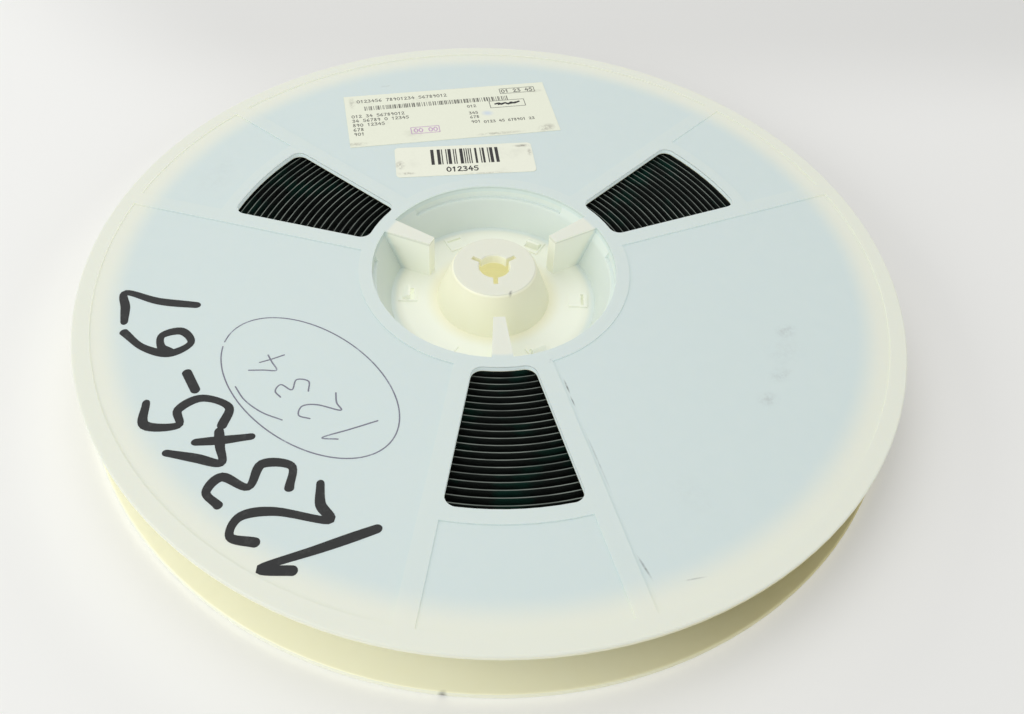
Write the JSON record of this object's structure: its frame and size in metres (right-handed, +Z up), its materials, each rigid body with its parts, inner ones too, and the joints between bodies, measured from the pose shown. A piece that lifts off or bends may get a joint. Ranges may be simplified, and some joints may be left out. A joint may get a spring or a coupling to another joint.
{
  "type": "surface-mount component tape reel",
  "caption": "Round two-flange plastic reel with an open well and keyed arbor hole, holding a wound roll of embossed carrier tape, with two paper labels.",
  "frame": {"origin": "on the arbor hole's axis, in the plane of the lower flange's outer face that the reel rests on", "axes": "+Z up along the arbor axis, out of the labelled flange; -Y along the middle of one window; +Y towards the labels"},
  "size_m": [0.33, 0.33, 0.03],
  "materials": {
    "reel_plastic": "satin, milky translucent",
    "tape_plastic": "satin black, with pale cut edges",
    "label_paper": "matte paper, printed"
  },
  "bodies": {
    "root": {"top_half": "reel_plastic", "bottom_half": "reel_plastic", "tape_roll": "tape_plastic", "large_label": "label_paper", "small_label": "label_paper"}
  },
  "joints": []
}
